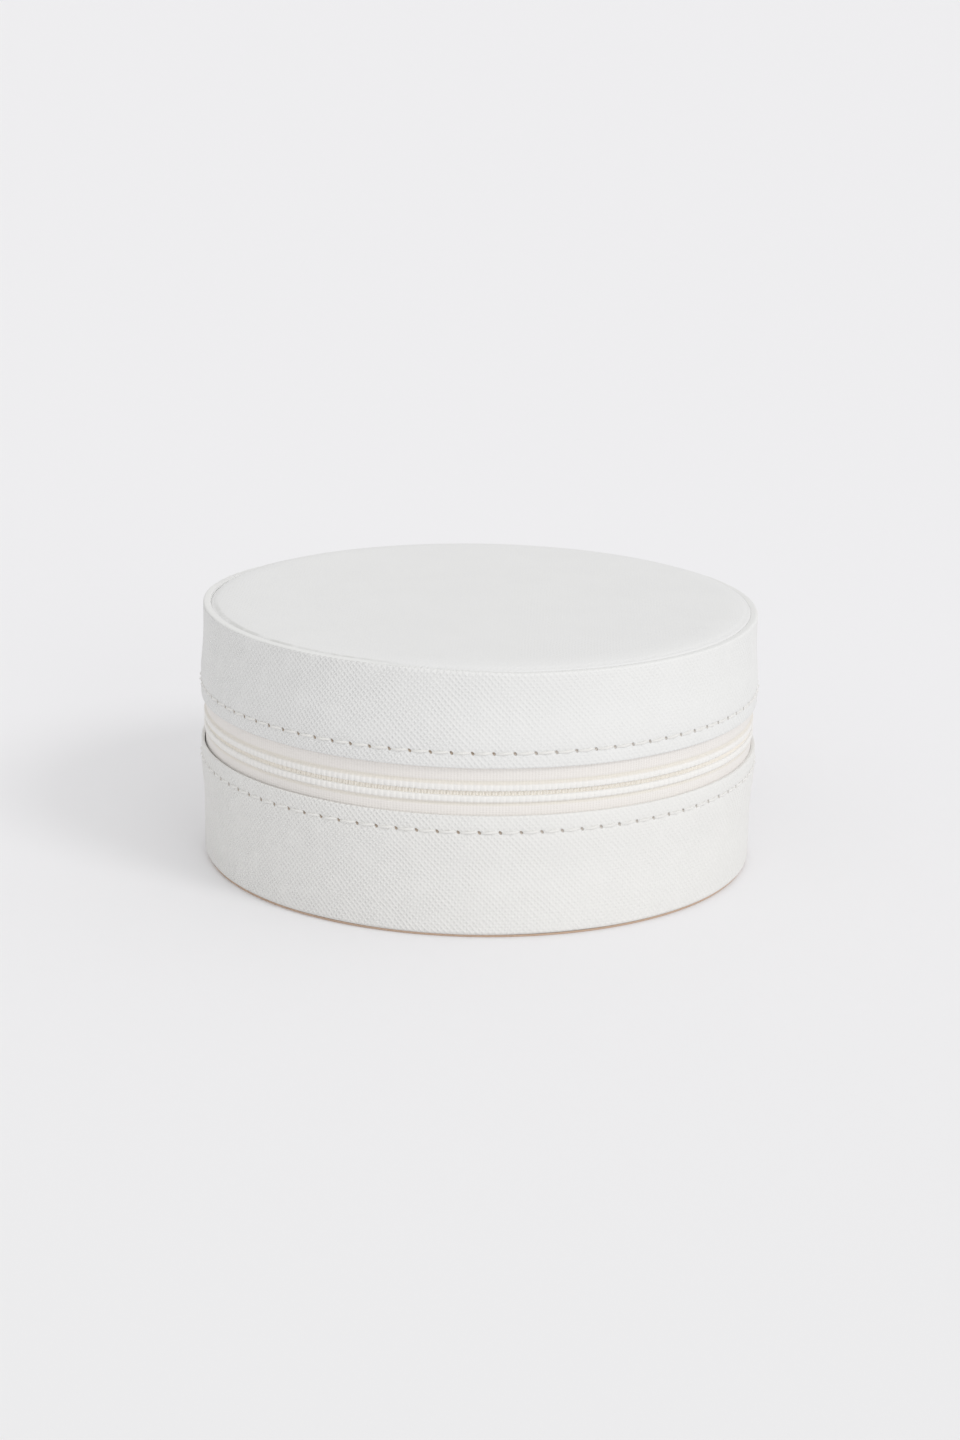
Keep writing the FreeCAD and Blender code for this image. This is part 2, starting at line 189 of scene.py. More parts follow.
def tidy_mesh():
    """In edit mode, merge what lies together, close what is open and turn the faces outwards."""
    bpy.ops.mesh.select_all(action="SELECT")
    bpy.ops.mesh.remove_doubles(threshold=SAME_PLACE)
    bpy.ops.mesh.delete_loose()
    bpy.ops.mesh.select_all(action="SELECT")
    bpy.ops.mesh.fill_holes(sides=0)
    bpy.ops.mesh.normals_make_consistent(inside=False)


def turned(name, outline, steps, sweep=360.0, middle=FRONT):
    """A piece turned about the case's axis from an outline of (distance out, height).

    One slice is spun and then copied round.
    """
    start = math.radians(middle + sweep / 2)
    points = [(out * math.cos(start), out * math.sin(start), height) for out, height in outline]
    piece = line_through(name, points + points[:1])
    slices = next(count for count in (24, 20, 16, 12, 8, 4, 1) if steps % count == 0)
    share = sweep / slices
    bpy.ops.mesh.select_all(action="SELECT")
    bpy.ops.mesh.spin(steps=steps // slices, angle=math.radians(share),
                      center=(0, 0, 0), axis=(0, 0, 1))
    done()
    copied_round(piece, slices, -share)
    edit(piece)
    tidy_mesh()
    done()
    return piece


def curve(middle, wide, high, start, end, count=6):
    """Points of an outline along part of an ellipse, from one angle to another."""
    points = []
    for step in range(count + 1):
        angle = math.radians(start + (end - start) * step / count)
        points.append((middle[0] + wide * math.cos(angle), middle[1] + high * math.sin(angle)))
    return points


def press(piece, share, wanted):
    """Bring the corners whose round place answers to a test nearer the axis, or further from it."""
    edit(piece)
    pick(piece, lambda place: wanted(*round_place(place)))
    bpy.ops.transform.resize(value=(share, share, 1), center_override=(0, 0, 0))
    done()


def raise_by(piece, rise, wanted):
    """Raise the corners whose round place answers to a test, or lower them."""
    edit(piece)
    pick(piece, lambda place: wanted(*round_place(place)))
    bpy.ops.transform.translate(value=(0, 0, rise))
    done()


def uneven(piece, amount, grain):
    """Make a piece a little uneven, as hand work is."""
    cloud = bpy.data.textures.new(piece.name + "_uneven", "CLOUDS")
    cloud.noise_scale = grain
    wave = piece.modifiers.new("uneven", "DISPLACE")
    wave.texture = cloud
    wave.texture_coords = "LOCAL"
    wave.strength = amount
    apply_all(piece)
    bpy.data.textures.remove(cloud)


def copied_round(piece, count, turn):
    """Copy a piece round the case's axis, each copy turned on from the last."""
    bpy.ops.object.empty_add(rotation=(0, 0, math.radians(turn)))
    turner = bpy.context.object
    row = piece.modifiers.new("round", "ARRAY")
    row.use_relative_offset = False
    row.use_object_offset = True
    row.offset_object = turner
    row.count = count
    apply_all(piece)
    bpy.data.objects.remove(turner)


def eased(node, name, width, segments=3):
    """A piece made from a CAD piece's own shape, with its sharp edges rounded over."""
    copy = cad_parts[node].copy()
    copy.data = copy.data.copy()
    copy.parent = None
    for key in list(copy.keys()):
        del copy[key]
    bpy.context.scene.collection.objects.link(copy)
    copy.name = name
    copy.data.name = name
    edit(copy)
    bpy.ops.mesh.select_all(action="SELECT")
    bpy.ops.mesh.customdata_custom_splitnormals_clear()
    bpy.ops.mesh.remove_doubles(threshold=SAME_PLACE)
    bpy.ops.mesh.dissolve_limited(angle_limit=math.radians(2))
    done()
    rounding = copy.modifiers.new("rounding", "BEVEL")
    rounding.width = width
    rounding.segments = segments
    rounding.limit_method = "ANGLE"
    rounding.angle_limit = math.radians(35)
    apply_all(copy)
    smooth(copy)
    return copy


def finished(piece, body, material, slot, *nodes):
    """Give a piece its finish, hang it on the body it rides on, and hide the CAD pieces it stands for.
    """
    piece.data.materials.clear()
    piece.data.materials.append(material)
    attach(piece, body)
    if nodes:
        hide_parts(*nodes)


# Finishes

class Wire:
    """An output of one of a finish's nodes. Arithmetic on it adds Math nodes."""

    def __init__(self, material, socket):
        self.material = material
        self.socket = socket

    def node(self, kind, settings, sockets, output=0):
        """Add a node: its settings first, then the values or links of its sockets."""
        tree = self.material.node_tree
        made = tree.nodes.new("ShaderNode" + kind)
        for key, value in settings.items():
            setattr(made, key, value)
        for key, value in sockets.items():
            if isinstance(value, Wire):
                tree.links.new(value.socket, made.inputs[key])
            else:
                made.inputs[key].default_value = value
        return Wire(self.material, made.outputs[output])

    def maths(self, operation, first, second=0.0):
        return self.node("Math", {"operation": operation}, {0: first, 1: second})

    def __add__(self, other):
        return self.maths("ADD", self, other)

    def __radd__(self, other):
        return self.maths("ADD", other, self)

    def __sub__(self, other):
        return self.maths("SUBTRACT", self, other)

    def __rsub__(self, other):
        return self.maths("SUBTRACT", other, self)

    def __mul__(self, other):
        return self.maths("MULTIPLY", self, other)

    def __rmul__(self, other):
        return self.maths("MULTIPLY", other, self)

    def __truediv__(self, other):
        return self.maths("DIVIDE", self, other)

    def __abs__(self):
        return self.maths("ABSOLUTE", self)

    def part(self, axis):
        """One of the three parts of a place."""
        return self.node("SeparateXYZ", {}, {0: self}, axis)

    def noise(self, size, seed, detail=2.0):
        """Soft noise from 0 to 1 with patches of about a given size."""
        return self.node("TexNoise", {"noise_dimensions": "4D"},
                         {"Vector": self, "W": seed, "Scale": 1 / size, "Detail": detail})

    def ramp(self, low, high, start=0.0, end=1.0):
        """Ease from one value to another as this goes from low to high."""
        return self.node("MapRange", {"interpolation_type": "SMOOTHSTEP"},
                         {"Value": self, "From Min": low, "From Max": high,
                          "To Min": start, "To Max": end})

    def mix(self, first, second):
        """Blend two colours by this, from 0 to 1."""
        return self.node("Mix", {"data_type": "RGBA"}, {0: self, 6: first, 7: second}, 2)

    def waves(self, spacing):
        """Even waves from 0 to 1, a given distance apart."""
        return self.maths("SINE", self * (2 * math.pi / spacing)) * 0.5 + 0.5

    def bump(self, depth):
        """A surface pressed by this, from 0 to 1, to a given depth."""
        return self.node("Bump", {}, {"Strength": 1.0, "Distance": depth, "Height": self})


def finish(name, **constants):
    """A new material. It gives back the material, its place on the piece and its shader."""
    material = bpy.data.materials.new(name)
    material.use_nodes = True
    tree = material.node_tree
    shader = tree.nodes["Principled BSDF"]
    for key, value in constants.items():
        shader.inputs[key.replace("_", " ")].default_value = value
    place = Wire(material, tree.nodes.new("ShaderNodeTexCoord").outputs["Object"])
    return material, place, shader


def feed(shader, socket, wire):
    wire.material.node_tree.links.new(wire.socket, shader.inputs[socket])


def distance(aside, along):
    """How far off a place is, from how far it is each way."""
    return aside.maths("SQRT", aside * aside + along * along)


def facing(place, turn):
    """1 on the wall at a turn from the front in degrees, falling to -1 on the far side."""
    angle = math.radians(turn)
    return place.part(0) * (math.sin(angle) / WALL) - place.part(1) * (math.cos(angle) / WALL)


def around_and_up(place):
    """Distance round the wall and height, in millimetres, for a pattern wrapped round it."""
    turn = place.maths("ARCTAN2", place.part(0), place.part(1) * -1.0)
    return turn * (WALL / MM), place.part(2) / MM


def pressed_lines(place, across, up, lean, spacing, seed):
    """One family of saffiano lines: 1 along a line and 0 between, wavering and fading."""
    most_waver = 0.4
    waver = (place.noise(5 * MM, seed) - 0.5) * (2 * most_waver)
    side = across * math.cos(lean) + up * math.sin(lean)
    strength = place.noise(4 * MM, seed + 7.0).ramp(0.35, 0.6, 0.72, 1.0)
    return (side + waver).waves(spacing) * strength


def saffiano(place, across, up):
    """The pressed surface of the leather: two families of lines crossing over a fine grain."""
    falling = pressed_lines(place, across, up, lean=math.radians(42), spacing=0.86, seed=1.0)
    rising = pressed_lines(place, across, up, lean=math.radians(135), spacing=0.85, seed=21.0)
    grain = place.noise(0.22 * MM, 40.0)
    return falling.maths("MAXIMUM", falling, rising) + grain * 0.15


def needle_holes(across, up, seam, shift):
    """1 in each needle hole of a seam, 0 elsewhere."""
    pitch = STITCH_TURN * math.radians(1) * WALL / MM
    count = across / pitch - shift / STITCH_TURN
    aside = (count - count.maths("ROUND", count)) * pitch
    rise = up - seam / MM
    slant, half_wide, half_high = 0.35, 0.26, 0.34
    away = distance((aside + rise * slant) / half_wide, rise / half_high)
    return away.ramp(0.7, 1.25, 1.0, 0.0)


LID_WHITE = (0.786, 0.785, 0.775)
BASE_WHITE = (0.790, 0.784, 0.765)
TOP_WHITE = (0.787, 0.786, 0.782)
# Painted shade in the needle holes.
HOLE_PAINTED_SHADE = (0.50, 0.41, 0.33, 1)
# Painted shadow beside the rim of the top panel.
CREASE_PAINTED_SHADOW = (0.67, 0.67, 0.655, 1)


def clouded(place, white, seed):
    """A white that is a little uneven, as dyed leather is."""
    spread = 0.007
    darker = [(1 - spread) * part for part in white] + [1]
    lighter = [(1 + spread) * part for part in white] + [1]
    return place.noise(9 * MM, seed).ramp(0.25, 0.75).mix(darker, lighter)


def wall_leather(name, white, *seams):
    """Leather wrapped round the case, with needle holes along its seams, painted shade in each hole, and
    a smooth rim.

    Towards the right of the front, the lines are pressed less deep and the painted shade in the holes is
    paler, where the light falls into them.
    """
    material, place, shader = finish(name, Roughness=0.6, Specular_IOR_Level=0.3)
    across, up = around_and_up(place)
    shallow_turn = 60.0
    depth = facing(place, shallow_turn).ramp(-0.09, 0.94, 1.2, 0.5)
    rim_fade = up.ramp(RIM_TOP / MM - 0.35, RIM_TOP / MM - 0.1, 1.0, 0.0)
    surface = saffiano(place, across, up) * depth * rim_fade
    holes = needle_holes(across, up, *seams[0])
    for seam in seams[1:]:
        holes = holes + needle_holes(across, up, *seam)
    # Painted shade: the holes are coloured dark, paler towards the right of the front where the light
    # falls into them.
    shade = holes * depth.ramp(0.5, 0.8, 0.5, 1.0)
    feed(shader, "Base Color", shade.mix(clouded(place, white, 60.0), HOLE_PAINTED_SHADE))
    feed(shader, "Normal", (surface - holes).bump(0.15 * MM))
    return material


def flat_leather(name):
    """Leather of the top panel, with a faint painted shadow line beside the rim at the left of the
    front, where the panel dips behind the rim.
    """
    material, place, shader = finish(name, Roughness=0.6, Specular_IOR_Level=0.3)
    right, back = place.part(0) / MM, place.part(1) / MM
    surface = saffiano(place, right, back)
    crease_turn, crease_out = -50.0, PANEL_OUT / MM - 1.15
    line = abs(distance(right, back) - crease_out).ramp(0.15, 0.6, 1.0, 0.0)
    broken = place.noise(3 * MM, 62.0).ramp(0.3, 0.6)
    # Painted shadow: a broken dark line where the panel dips behind the rim.
    crease_painted_shadow = line * facing(place, crease_turn).ramp(0.76, 0.9) * broken
    feed(shader, "Base Color", crease_painted_shadow.mix(clouded(place, TOP_WHITE, 61.0), CREASE_PAINTED_SHADOW))
    feed(shader, "Normal", surface.bump(0.04 * MM))
    return material


def sewing_thread():
    material, place, shader = finish("sewing_thread", Roughness=0.6, Sheen_Weight=0.2)
    across, up = around_and_up(place)
    twist = (across + up * 1.6).waves(0.34)
    # Painted shade in the grooves of the twist and painted light on its crests.
    feed(shader, "Base Color", twist.mix((0.77, 0.76, 0.735, 1), (0.86, 0.85, 0.825, 1)))
    feed(shader, "Normal", twist.bump(0.03 * MM))
    return material


def woven_tape():
    """Cream zip tape: the weave's ribs, painted light on the ridge, and a yellower tint with painted
    shade in the channel beside it.
    """
    material, place, shader = finish("woven_tape", Roughness=0.75, Sheen_Weight=0.25)
    across, up = around_and_up(place)
    ribs = across.waves(0.6)
    rows = up.waves(0.42)
    weave = ribs * 0.6 + rows * 0.4 + place.noise(0.3 * MM, 3.0) * 0.3
    from_middle = abs(up - ZIP_MIDDLE / MM)
    channel_middle = 2.05
    # The channel is coloured yellower, a tint of the fabric, and darker, painted shade of the dip.
    channel = abs(from_middle - channel_middle).ramp(0.15, 0.55, 1.0, 0.0)
    # Painted light on the ridge, which stands partly in shade.
    ridge = from_middle.ramp(1.5, 1.75, 1.0, 0.0)
    woven = ribs.mix((0.785, 0.753, 0.722, 1), (0.823, 0.792, 0.762, 1))
    ridge_painted_light, channel_tint_and_shade = (0.85, 0.835, 0.81, 1), (0.775, 0.735, 0.65, 1)
    feed(shader, "Base Color", (channel * 0.6).mix(ridge.mix(woven, ridge_painted_light), channel_tint_and_shade))
    feed(shader, "Normal", weave.bump(0.05 * MM))
    return material


def nylon_coil():
    material, place, shader = finish("nylon_coil", Roughness=0.35)
    tint = place.noise(2 * MM, 5.0).mix((0.825, 0.785, 0.715, 1), (0.885, 0.845, 0.775, 1))
    feed(shader, "Base Color", tint)
    return material


def pale_gold():
    material, place, shader = finish("pale_gold", Metallic=1.0)
    worn = place.noise(5 * MM, 8.0, detail=3.0)
    feed(shader, "Base Color", worn.mix((0.80, 0.66, 0.45, 1), (0.88, 0.75, 0.54, 1)))
    feed(shader, "Roughness", worn.ramp(0.3, 0.7, 0.2, 0.3))
    return material


def velvet():
    """Short beige pile, brushed a little this way and that."""
    material, place, shader = finish("velvet", Roughness=0.95, Specular_IOR_Level=0.1,
                                     Sheen_Weight=0.6, Sheen_Roughness=0.4)
    brushed = place.noise(7 * MM, 11.0, detail=3.0).ramp(0.3, 0.7)
    pile = place.noise(0.35 * MM, 12.0)
    tone = brushed * 0.7 + pile * 0.3
    feed(shader, "Base Color", tone.mix((0.49, 0.425, 0.36, 1), (0.59, 0.515, 0.44, 1)))
    feed(shader, "Normal", pile.bump(0.12 * MM))
    return material


def mirror_silver():
    material, place, shader = finish("mirror_silver", Metallic=1.0, Base_Color=(0.9, 0.91, 0.91, 1))
    feed(shader, "Roughness", place.noise(15 * MM, 14.0).ramp(0.2, 0.8, 0.015, 0.04))
    return material


def grey_board():
    material, place, shader = finish("grey_board", Roughness=0.9)
    fibre = place.noise(0.6 * MM, 16.0, detail=4.0)
    feed(shader, "Base Color", fibre.mix((0.40, 0.385, 0.36, 1), (0.52, 0.50, 0.47, 1)))
    return material


def bottom_leather():
    """The leather under the case, with the tan backing showing at its cut edge."""
    material, place, shader = finish("bottom_leather", Roughness=0.6, Specular_IOR_Level=0.3)
    right, back = place.part(0), place.part(1)
    surface = saffiano(place, right / MM, back / MM)
    cut = distance(right, back).ramp(BOTTOM - 0.25 * MM, BOTTOM - 0.1 * MM)
    fibre = place.noise(0.5 * MM, 18.0, detail=3.0).mix((0.52, 0.37, 0.27, 1), (0.64, 0.48, 0.37, 1))
    feed(shader, "Base Color", cut.mix(BASE_WHITE + (1,), fibre))
    feed(shader, "Normal", surface.bump(0.06 * MM))
    return material


def cut_foam():
    material, place, shader = finish("cut_foam", Roughness=0.95)
    cells = place.noise(0.5 * MM, 20.0, detail=3.0)
    feed(shader, "Base Color", cells.mix((0.62, 0.60, 0.55, 1), (0.76, 0.74, 0.68, 1)))
    return material


LID_LEATHER = wall_leather("lid_leather", LID_WHITE, (LID_SEAM, LID_SEAM_SHIFT))
BASE_LEATHER = wall_leather("base_leather", BASE_WHITE, (BASE_SEAM, BASE_SEAM_SHIFT))
STRIP_LEATHER = wall_leather("strip_leather", LID_WHITE, (STRIP_LOW_SEAM, STRIP_SEAM_SHIFT),
                             (STRIP_HIGH_SEAM, STRIP_SEAM_SHIFT))
TOP_LEATHER = flat_leather("top_leather")
THREAD = sewing_thread()
TAPE = woven_tape()
COIL = nylon_coil()
GOLD = pale_gold()
VELVET = velvet()
SILVER = mirror_silver()
GREY_BOARD = grey_board()
BOTTOM_LEATHER = bottom_leather()
FOAM = cut_foam()


# Leather walls and lid

def hem_face(edge, way, seam_in):
    """The outside of a hem, from its cut edge to the wall, dented along its seam."""
    cut_edge = ((0.36, 0.0), (0.16, 0.05), (0.05, 0.17), (0.0, 0.4))
    dents = ((-1.1, 0.0), (-0.6, 0.03), (-0.25, 0.1), (0.0, 0.13),
             (0.25, 0.1), (0.6, 0.03), (1.1, 0.0))
    slope = ((5.0, 0.03), (6.5, 0.18), (8.0, 0.42), (9.5, 0.68),
             (11.0, 0.87), (12.5, 0.97), (14.0, 1.0))
    face = [(HEM - inward * MM, depth * MM) for inward, depth in cut_edge]
    face += [(HEM - dent * MM, seam_in + aside * MM) for aside, dent in dents]
    face += [(HEM - share * (HEM - WALL), depth * MM) for depth, share in slope]
    return [(out, edge + way * depth) for out, depth in face]


def press_holes(piece, seam, shift):
    """Press a small pit into the leather where the needle went in at each stitch."""
    pit = 0.4 * MM

    def in_hole(out, turn, height):
        aside = (turn - shift) / STITCH_TURN
        aside = (aside - round(aside)) * STITCH_TURN
        return out > UNDER_HEM + 0.3 * MM and abs(height - seam) < 0.1 * MM and abs(aside) < 0.1
    press(piece, (HEM - pit) / HEM, in_hole)


def lid_wall():
    """The lid's wall: a turned hem, and a rim above the panel's edge at the left, below it elsewhere."""
    soft_out, soft_in = 0.5 * MM, 0.35 * MM
    outline = [(BOARD, LID_EDGE + 8 * MM), (UNDER_HEM, LID_EDGE + 6 * MM)]
    outline += [(UNDER_HEM, LID_EDGE + 0.2 * MM)]
    outline += hem_face(LID_EDGE, 1, LID_SEAM - LID_EDGE)
    outline += [(WALL, RIM_TOP - 4 * MM), (WALL, RIM_TOP - 2 * MM)]
    outline += curve((WALL - soft_out, RIM_TOP - soft_out), soft_out, soft_out, 0, 90, 7)
    outline += curve((RIM_IN + soft_in, RIM_TOP - soft_in - 0.02 * MM), soft_in, soft_in, 90, 180, 6)
    outline += [(RIM_IN, PANEL_LOW), (BOARD, PANEL_LOW)]
    piece = turned("lid_wall_leather", outline, 8 * STITCHES)
    rim_foot, rim_drop, back_drop = RIM_TOP - 1.9 * MM, 0.1 * MM, 0.05 * MM
    proud_from = (-94, -98, -102, -106, -110, -114, -118, -122)
    proud_to = (-22, -18, -14, -10, -6, -2, 2, 6)
    for first, last in zip(proud_from, proud_to):
        raise_by(piece, -rim_drop, lambda out, turn, height: height > rim_foot
                 and not first < turn < last)
    for back_from in (100, 110, 120):
        raise_by(piece, -back_drop, lambda out, turn, height: height > rim_foot
                 and abs(turn) > back_from)
    press_holes(piece, LID_SEAM, LID_SEAM_SHIFT)
    uneven(piece, amount=0.12 * MM, grain=20 * MM)
    smooth(piece)
    finished(piece, "lid", LID_LEATHER, "white_leather", "lid_wall_cover")


def lid_panel():
    """The padded top: flat in the middle, with a soft shoulder all round, set inside the rim."""
    shoulder, fall, bend = 6.5 * MM, 0.8 * MM, 2.5
    edge_wide, edge_high = 0.6 * MM, 0.4 * MM
    side = PANEL_PEAK - fall
    outline = [(share * (PANEL_OUT - shoulder), PANEL_PEAK) for share in (0.0, 0.3, 0.6, 0.85)]
    for inward in (6.5, 5.5, 4.6, 3.8, 3.0, 2.3, 1.6, 1.0):
        share = 1 - inward * MM / shoulder
        outline.append((PANEL_OUT - inward * MM, PANEL_PEAK - fall * share ** bend))
    outline += curve((PANEL_OUT - edge_wide, side - edge_high), edge_wide, edge_high, 90, 0, 7)
    core, foam = reach("lid_top_foam"), top_of("lid_top_foam")
    outline += [(PANEL_OUT, PANEL_LOW), (core, PANEL_LOW), (core, foam - 0.5 * MM), (0.0, foam)]
    piece = turned("lid_panel_leather", outline, 240)
    uneven(piece, amount=0.08 * MM, grain=22 * MM)
    smooth(piece)
    finished(piece, "lid", TOP_LEATHER, "white_leather", "lid_top_cover")


def base_wall():
    """The base's wall: turned under at the foot, with a hem that stands off the tape at the left."""
    turn_in, soft = 8 * MM, 0.9 * MM
    outline = [(WALL - turn_in, FOOT + LEATHER), (WALL - turn_in, FOOT)]
    outline += curve((WALL - soft, FOOT + soft), soft, soft, -90, 0, 6)
    outline += reversed(hem_face(BASE_EDGE, -1, BASE_EDGE - BASE_SEAM))
    outline += [(UNDER_HEM + 0.05 * MM, BASE_EDGE - 0.15 * MM)]
    outline += [(UNDER_HEM + 0.02 * MM, BASE_EDGE - 1.2 * MM), (UNDER_HEM, BASE_EDGE - 3 * MM)]
    outline += [(UNDER_HEM, BASE_EDGE - 6 * MM), (BOARD, BASE_EDGE - 8 * MM)]
    outline += [(BOARD, FOOT + LEATHER)]
    piece = turned("base_wall_leather", outline, 8 * STITCHES)
    press_holes(piece, BASE_SEAM, BASE_SEAM_SHIFT)
    open_middle, open_step = -56, 0.065 * MM
    for half in (34, 31, 28, 25, 22):
        press(piece, 1 + open_step / HEM, lambda out, turn, height: abs(turn - open_middle) < half
              and height > BASE_EDGE - 1.3 * MM and out < UNDER_HEM + 0.5 * MM)
    uneven(piece, amount=0.12 * MM, grain=20 * MM)
    smooth(piece)
    finished(piece, "base", BASE_LEATHER, "white_leather", "base_wall_cover")


def bottom_cover():
    """The leather disc glued under the case, a little inside the wall."""
    low, high = bottom_of("base_bottom_cover"), top_of("base_bottom_cover")
    soft = 0.12 * MM
    outline = [(0.0, high), (0.0, low)]
    outline += [(share * BOTTOM, low) for share in (0.3, 0.6, 0.85, 0.95)]
    outline += curve((BOTTOM - soft, low + soft), soft, soft, -90, 0, 4)
    outline += [(BOTTOM, high)]
    piece = turned("bottom_cover_leather", outline, 240)
    smooth(piece)
    finished(piece, "base", BOTTOM_LEATHER, "white_leather", "base_bottom_cover")


def stitches(name, body, out, height, first, count):
    """A row of stitches: one is modelled, its ends drawn into the leather, and copied round."""
    thick, sunk, lean = 0.27 * MM, 0.3 * MM, 4.0
    end, gap = 0.35 * MM, 0.3 * MM
    half = STITCH_TURN * math.radians(1) * out / 2 - gap
    bpy.ops.object.select_all(action="DESELECT")
    bpy.ops.mesh.primitive_uv_sphere_add(segments=8, ring_count=6, radius=thick,
                                         rotation=(0, math.pi / 2, 0))
    piece = started(name)
    edit(piece)
    for side in (-1, 1):
        pick(piece, lambda place: place.x * side > 0.02 * MM)
        bpy.ops.transform.translate(value=(side * (half - thick), 0, 0))
        pick(piece, lambda place: place.x * side > half - end)
        bpy.ops.transform.translate(value=(0, sunk, 0))
    bpy.ops.mesh.select_all(action="SELECT")
    bpy.ops.transform.rotate(value=math.radians(lean), orient_axis="Y", center_override=(0, 0, 0))
    bpy.ops.transform.translate(value=(0, -out, height))
    bpy.ops.transform.rotate(value=math.radians(-first), orient_axis="Z", center_override=(0, 0, 0))
    done()
    copied_round(piece, count, STITCH_TURN)
    smooth(piece, 60)
    finished(piece, body, THREAD, "white_leather")


# Zip

def zip_tape(name, node, way, body):
    """One side of the zip: woven tape, with a ribbed ridge along its edge that the coil is sewn to."""
    edge, back = 0.45 * MM, BOARD + 0.05 * MM
    face = [(back, 0.0), (UNDER_HEM + 0.12 * MM, 0.0), (RIDGE - 0.08 * MM, 0.12)]
    face += [(RIDGE, 0.4), (RIDGE, 0.85), (RIDGE - 0.08 * MM, 1.15)]
    face += [(UNDER_HEM + 0.08 * MM, 1.35), (UNDER_HEM - 0.2 * MM, 1.5)]
    face += [(UNDER_HEM - 0.2 * MM, 1.7), (UNDER_HEM - 0.03 * MM, 1.95)]
    face += [(UNDER_HEM, 2.4), (UNDER_HEM, 10.0), (back, 10.0)]
    outline = [(out, ZIP_MIDDLE + way * (edge + away * MM)) for out, away in face]
    sweep = 360 - 2 * end_turn(node)
    ribs = round(sweep / TOOTH_TURN)
    piece = turned(name, outline, 4 * ribs, sweep)
    first = -sweep / 2
    rib = sweep / ribs
    furrow = 0.16 * MM

    def in_furrow(out, turn, height):
        count = (turn - first) / rib
        return out > UNDER_HEM + 0.05 * MM and abs(count - math.floor(count) - 0.5) < 0.1
    press(piece, 1 - furrow / RIDGE, in_furrow)
    last_tooth = 180 - end_turn(node.replace("tape", "coil")) - COIL_SPARE
    draw_in = 0.42 * MM
    raise_by(piece, -way * draw_in, lambda out, turn, height: abs(turn) > last_tooth
             and abs(height - ZIP_MIDDLE) < 0.6 * MM)
    smooth(piece, 60)
    finished(piece, body, TAPE, "zip_tape", node)


def zip_coil(name, node, way, body, start):
    """One side's teeth: one loop of the coil is modelled and copied along the tape."""
    wire, corner, lean = 0.41 * MM, 0.58 * MM, 0.05 * MM
    inside, outside = BOARD - 1.4 * MM, BOARD + 0.5 * MM
    low, high = -0.8 * MM, 2.1 * MM
    longer = (high - low) / 2 - corner
    deeper = (outside - inside) / 2 - corner
    # The loop is made aslant and turned back: this settles which half the corners on its middle
    # lines go with when it is pulled longer and deeper.
    aslant = math.radians(15)
    bpy.ops.object.select_all(action="DESELECT")
    bpy.ops.mesh.primitive_torus_add(major_radius=corner - wire, minor_radius=wire, major_segments=12,
                                     minor_segments=5, rotation=(0, math.pi / 2, aslant))
    piece = started(name)
    edit(piece)
    bpy.ops.mesh.select_all(action="SELECT")
    bpy.ops.transform.rotate(value=aslant, orient_axis="Z", center_override=(0, 0, 0))
    for side in (-1, 1):
        pick(piece, lambda place: place.z * side > 0)
        bpy.ops.transform.translate(value=(side * lean, 0, side * longer))
        pick(piece, lambda place: place.y * side > 0)
        bpy.ops.transform.translate(value=(0, side * deeper, 0))
    bpy.ops.mesh.select_all(action="SELECT")
    bpy.ops.transform.translate(value=(0, -(inside + outside) / 2,
                                       ZIP_MIDDLE + way * (low + high) / 2))
    sweep = 360 - 2 * end_turn(node)
    loops = int((sweep - 2 * COIL_SPARE) / TOOTH_TURN)
    first = sweep / 2 - COIL_SPARE - start
    bpy.ops.transform.rotate(value=math.radians(first), orient_axis="Z", center_override=(0, 0, 0))
    done()
    copied_round(piece, loops, TOOTH_TURN)
    smooth(piece, 60)
    finished(piece, body, COIL, "zip_coil", node)


def metal_piece(node, width, body):
    """A small cast piece, its edges rounded over to a given width."""
    piece = eased(node, node + "_cast", width)
    finished(piece, body, GOLD, "pale_gold", node)


# Hinge

def hinge_strip():
    """A strip of the same leather, sewn over both hems at the back."""
    low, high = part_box("hinge_strip")
    out = high.y
    inner = out - LEATHER
    half = math.degrees(math.asin(high.x / out))
    soft = 0.35 * MM
    rows = 26
    tall = high.z - low.z - 2 * soft
    heights = [low.z + soft + tall * row / rows for row in range(1, rows)]
    outline = [(inner, low.z + soft)]
    outline += curve((out - soft, low.z + soft), soft, soft, -90, 0, 4)
    outline += [(out, height) for height in heights]
    outline += curve((out - soft, high.z - soft), soft, soft, 0, 90, 4)
    outline += [(inner, high.z - soft)]
    outline += [(inner, height) for height in reversed(heights)]
    piece = turned("hinge_strip_leather", outline, 96, 2 * half, BACK)
    smooth(piece)
    piece.data.materials.append(STRIP_LEATHER)
    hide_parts("hinge_strip")
    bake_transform(piece)
    count = 2 * int((half - 1.0) / STITCH_TURN)
    first = STRIP_SEAM_SHIFT - (count - 1) / 2 * STITCH_TURN
    thread_out = out - 0.02 * MM
    stitches("hinge_stitches_base", "base", thread_out, STRIP_LOW_SEAM, first, count)
    stitches("hinge_stitches_lid", "lid", thread_out, STRIP_HIGH_SEAM, first, count)


# Velvet inside

def base_lining():
    """Velvet over the standing lip: up the inside, rolled over the top and down the outside."""
    low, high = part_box("base_wall_lining")
    out, inside = high.x, reach("base_floor_pad")
    middle = (out + inside) / 2
    half = (out - inside) / 2
    outline = [(inside, low.z), (inside, high.z - half)]
    outline += curve((middle, high.z - half), half, half, 180, 0, 10)
    foot, thin, thick = BASE_EDGE + 1 * MM, 0.4 * MM, 0.5 * MM
    outline += [(out, foot), (out - thin, foot), (out - thin, high.z - half)]
    outline += [(inside + thick, high.z - half), (inside + thick, low.z)]
    piece = turned("base_lining_velvet", outline, 240)
    uneven(piece, amount=0.3 * MM, grain=9 * MM)
    smooth(piece, 60)
    finished(piece, "base", VELVET, "velvet", "base_wall_lining")


